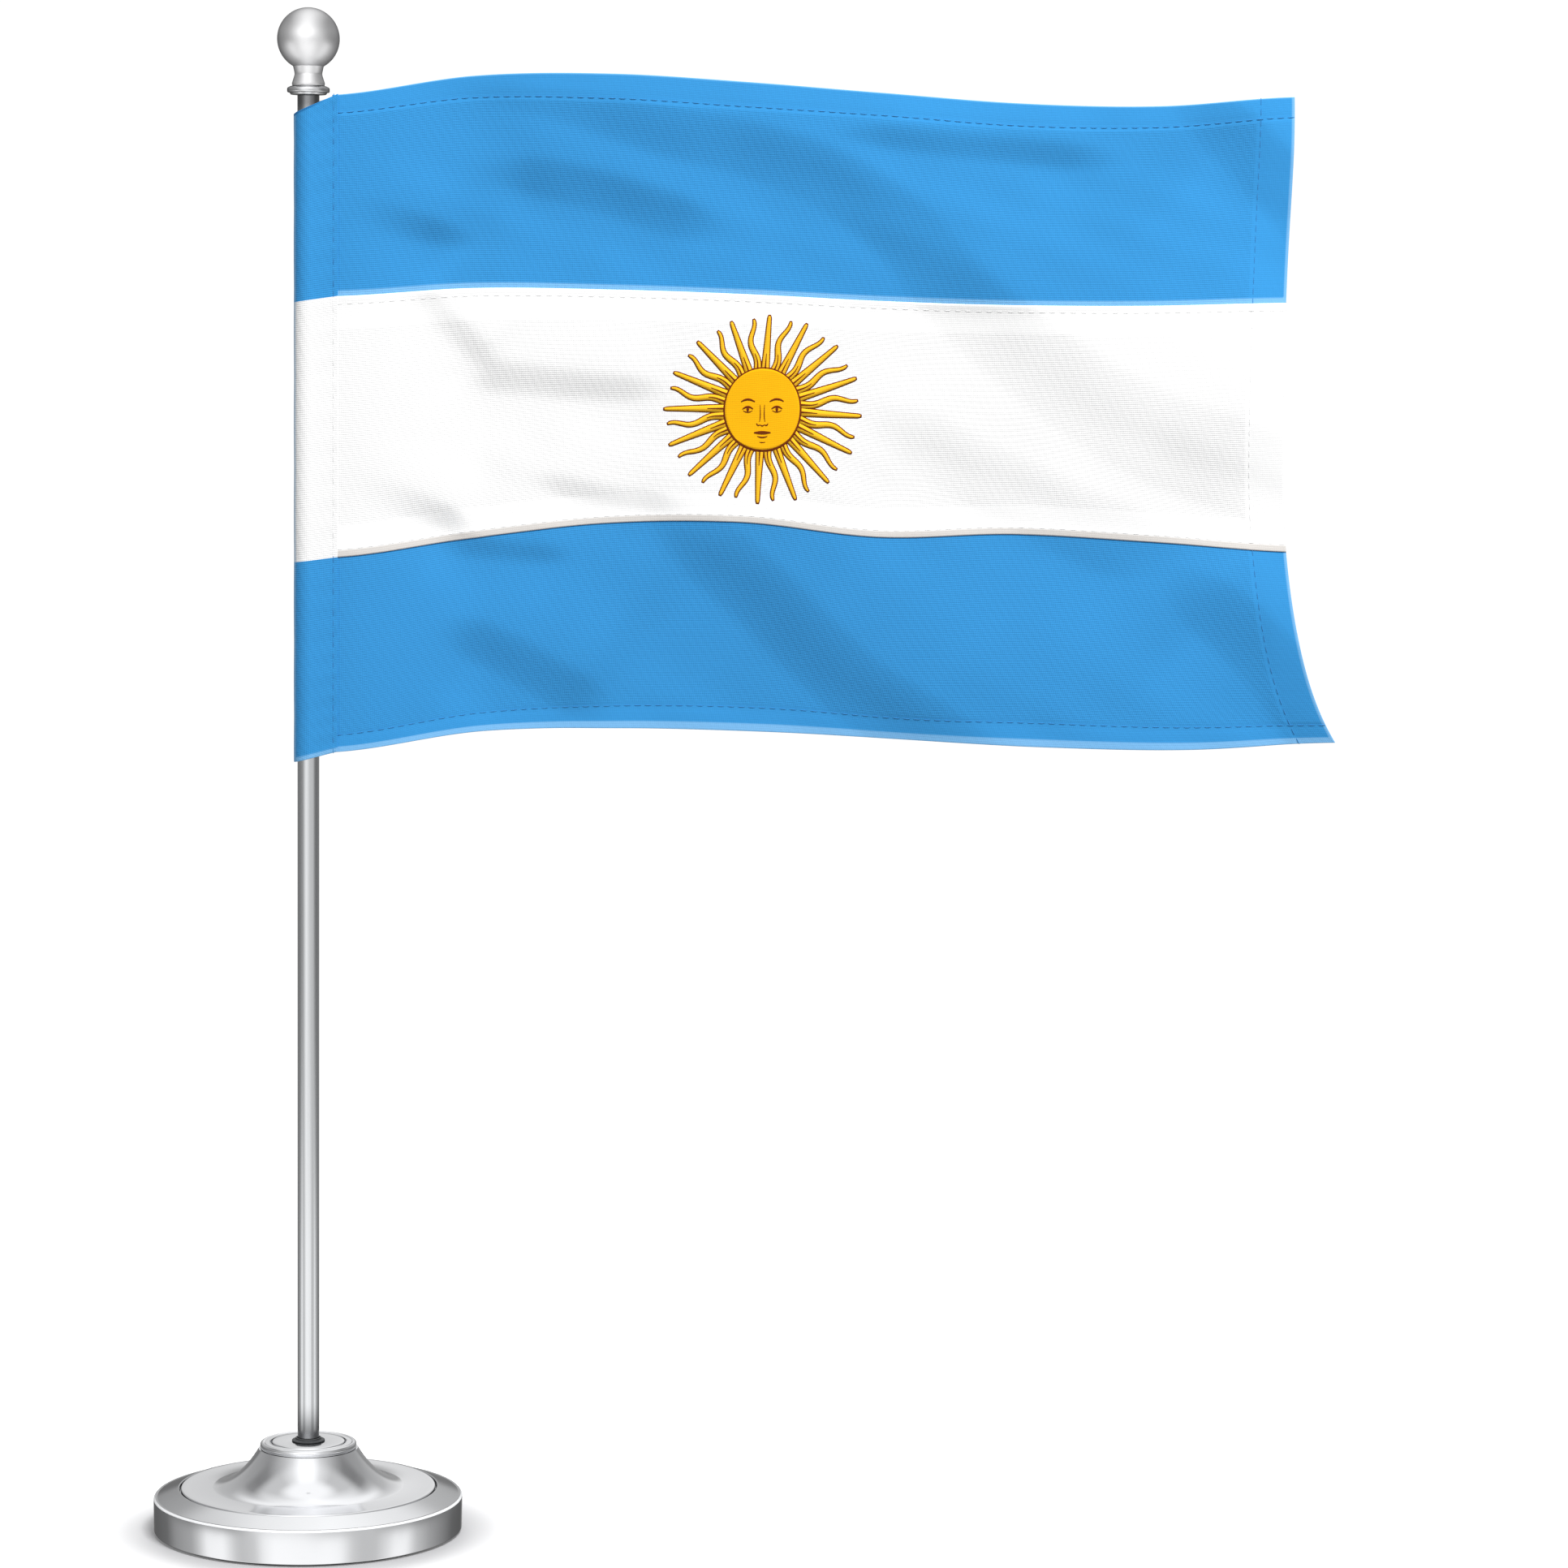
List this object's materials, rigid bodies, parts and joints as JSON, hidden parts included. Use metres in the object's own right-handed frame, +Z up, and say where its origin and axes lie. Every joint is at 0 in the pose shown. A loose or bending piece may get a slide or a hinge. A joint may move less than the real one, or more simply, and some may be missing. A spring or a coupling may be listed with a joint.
{
  "type": "desk flag stand",
  "caption": "Desk flag stand: weighted round chrome base with a flared cover, lift-out steel pole with a screwed ball finial, and a striped cloth flag hung by a sleeve.",
  "frame": {"origin": "centre of the felt pad's lower face, on the pole's axis, at the height of the table", "axes": "+Z up along the pole, +X from the pole towards the flag's fly edge, -Y out of the flag's front face"},
  "size_m": [0.2505, 0.066, 0.3239],
  "materials": {
    "polished_chrome": "polished",
    "satin_steel": "satin, drawn along the pole",
    "zinc_steel": "zinc plated",
    "cast_iron": "as cast",
    "dark_plastic": "moulded, matte",
    "felt": "pressed felt",
    "clear_silicone": "clear, smooth",
    "blue_cloth": "woven polyester, fine twill",
    "white_cloth": "woven polyester, fine twill"
  },
  "bodies": {
    "base": {"felt_pad": "felt", "base_plate": "zinc_steel", "base_rim": "polished_chrome", "bell_cover": "polished_chrome", "cap_ring": "polished_chrome", "socket_tube": "polished_chrome", "pole_bush": "dark_plastic", "ballast_weight": "cast_iron", "clamp_washer": "zinc_steel", "clamp_nut": "zinc_steel"},
    "pole": {"pole_tube": "satin_steel", "pole_foot_plug": "dark_plastic", "pole_top_insert": "zinc_steel"},
    "collar": {"finial_collar": "polished_chrome"},
    "finial": {"finial_ball": "polished_chrome", "finial_stud": "zinc_steel"},
    "grip_rings": {"lower_grip_ring": "clear_silicone", "upper_grip_ring": "clear_silicone"},
    "flag": {"hoist_sleeve": "blue_cloth", "lower_stripe": "blue_cloth", "middle_stripe": "white_cloth", "upper_stripe": "blue_cloth"}
  },
  "joints": [
    {"name": "pole_lift", "type": "slide", "parent": "base", "child": "pole", "axis": [0, 0, 1], "range_m": [0, 0.03]},
    {"name": "finial_rise", "type": "slide", "parent": "pole", "child": "collar", "axis": [0, 0, 1], "range_m": [0, 0.008]},
    {"name": "finial_turn", "type": "hinge", "parent": "collar", "child": "finial", "pos_m": [0, 0, 0.315], "axis": [0, 0, 1], "range_deg": [0, 5760]},
    {"name": "flag_height", "type": "slide", "parent": "pole", "child": "grip_rings", "axis": [0, 0, 1], "range_m": [-0.14, 0]},
    {"name": "flag_swivel", "type": "hinge", "parent": "grip_rings", "child": "flag", "pos_m": [0, 0, 0.235], "axis": [0, 0, 1], "continuous": true}
  ],
  "couplings": [
    {"joint": "finial_turn", "follows": "finial_rise", "rad_per_m": 12566}
  ]
}
